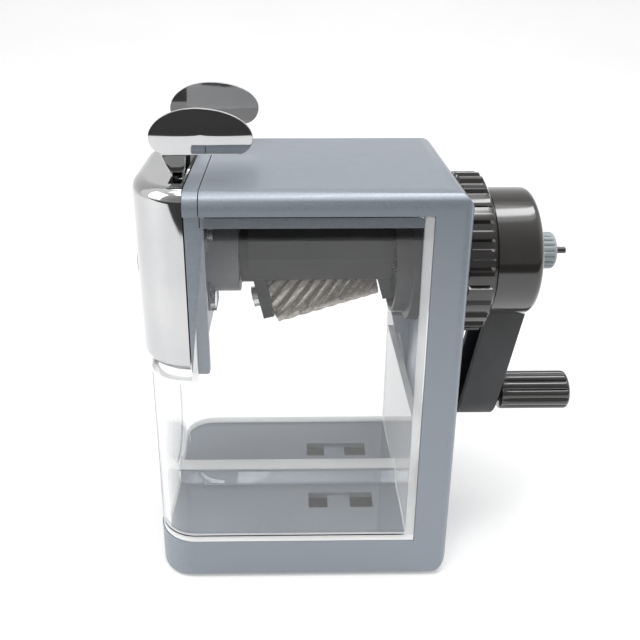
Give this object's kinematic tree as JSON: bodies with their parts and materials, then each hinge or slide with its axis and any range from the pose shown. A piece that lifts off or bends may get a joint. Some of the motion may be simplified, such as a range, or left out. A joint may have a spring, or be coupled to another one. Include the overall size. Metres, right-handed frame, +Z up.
{
  "type": "crank pencil sharpener",
  "caption": "Desk pencil sharpener with a hand crank, helical milling cutter, spring-fed chrome clamp carriage and a clear slide-out shavings drawer.",
  "frame": {"origin": "centre of the base's underside, on the surface that it stands on", "axes": "+X from the clamp carriage to the crank, +Y across the body, +Z up"},
  "size_m": [0.1297, 0.06, 0.1388],
  "materials": {
    "body_paint": "metallic blue-grey paint, satin",
    "chrome": "polished",
    "steel": "bright drawn steel",
    "tool_steel": "hardened, ground",
    "brass": "turned",
    "clear_plastic": "clear moulded polystyrene",
    "black_gloss": "moulded, glossy",
    "arm_plastic": "moulded, matt dark grey",
    "carrier_plastic": "moulded dark grey",
    "hub_plastic": "moulded mid grey",
    "housing_plastic": "moulded grey",
    "knob_plastic": "moulded pale blue-grey",
    "rubber": "soft black"
  },
  "bodies": {
    "root": {"body_shell": "body_paint", "bottom_plate": "arm_plastic", "bottom_screws": "steel", "rubber_pad": "rubber", "front_frame": "body_paint", "frame_screws": "steel", "gear_housing": "housing_plastic", "ring_gear": "housing_plastic", "rear_bush": "brass", "front_hub": "hub_plastic", "front_bush": "brass", "rod_bushes": "brass"},
    "drawer": {"shavings_drawer": "clear_plastic"},
    "ring": {"lock_ring": "black_gloss"},
    "rotor": {"cutter_carrier": "carrier_plastic", "main_shaft": "steel", "cutter_axle": "steel", "axle_retainer": "carrier_plastic", "crank_drum": "black_gloss", "crank_arm": "arm_plastic", "handle_axle": "steel"},
    "cutter": {"milling_cutter": "tool_steel", "cutter_pinion": "housing_plastic"},
    "grip": {"handle_grip": "black_gloss"},
    "adjuster": {"adjuster_knob": "knob_plastic", "adjuster_screw": "black_gloss"},
    "carriage": {"carriage_cover": "chrome", "carriage_plate": "arm_plastic", "pencil_guide": "black_gloss", "lever_pins": "steel", "clamp_spring": "steel", "guide_rods": "steel", "rod_clips": "arm_plastic", "feed_spring_left": "steel", "feed_spring_right": "steel"},
    "lever_left": {"clamp_lever_left": "chrome", "jaw_pad_left": "rubber"},
    "lever_right": {"clamp_lever_right": "chrome", "jaw_pad_right": "rubber"}
  },
  "joints": [
    {"name": "crank_turn", "type": "hinge", "parent": "root", "child": "rotor", "pos_m": [0, 0, 0.0926], "axis": [1, 0, 0], "continuous": true},
    {"name": "cutter_spin", "type": "hinge", "parent": "rotor", "child": "cutter", "pos_m": [-0.00888, 0, 0.07952], "axis": [0.9744, 0, 0.225], "continuous": true},
    {"name": "grip_spin", "type": "hinge", "parent": "rotor", "child": "grip", "pos_m": [0.07, 0, 0.045], "axis": [1, 0, 0], "continuous": true},
    {"name": "adjuster_turn", "type": "hinge", "parent": "rotor", "child": "adjuster", "pos_m": [0.07, 0, 0.0926], "axis": [1, 0, 0], "range_deg": [0, 270]},
    {"name": "lock_ring_turn", "type": "hinge", "parent": "root", "child": "ring", "pos_m": [0.0475, 0, 0.0926], "axis": [1, 0, 0], "range_deg": [0, 40]},
    {"name": "carriage_slide", "type": "slide", "parent": "root", "child": "carriage", "axis": [-1, 0, 0], "range_m": [0, 0.03], "stiffness_N_per_m": 60, "springref_m": -0.01, "deforming": ["feed_spring_left", "feed_spring_right"]},
    {"name": "lever_left_turn", "type": "hinge", "parent": "carriage", "child": "lever_left", "pos_m": [-0.0325, 0.0085, 0.107], "axis": [1, 0, 0], "range_deg": [0, 19], "stiffness_Nm_per_rad": 0.05, "springref_deg": -11.46, "deforming": ["clamp_spring"]},
    {"name": "lever_right_turn", "type": "hinge", "parent": "carriage", "child": "lever_right", "pos_m": [-0.0325, -0.0085, 0.107], "axis": [1, 0, 0], "range_deg": [-19, 0]},
    {"name": "drawer_slide", "type": "slide", "parent": "root", "child": "drawer", "axis": [-1, 0, 0], "range_m": [0, 0.05]}
  ],
  "couplings": [
    {"joint": "cutter_spin", "follows": "crank_turn", "ratio": -1.5},
    {"joint": "lever_right_turn", "follows": "lever_left_turn", "ratio": -1}
  ]
}
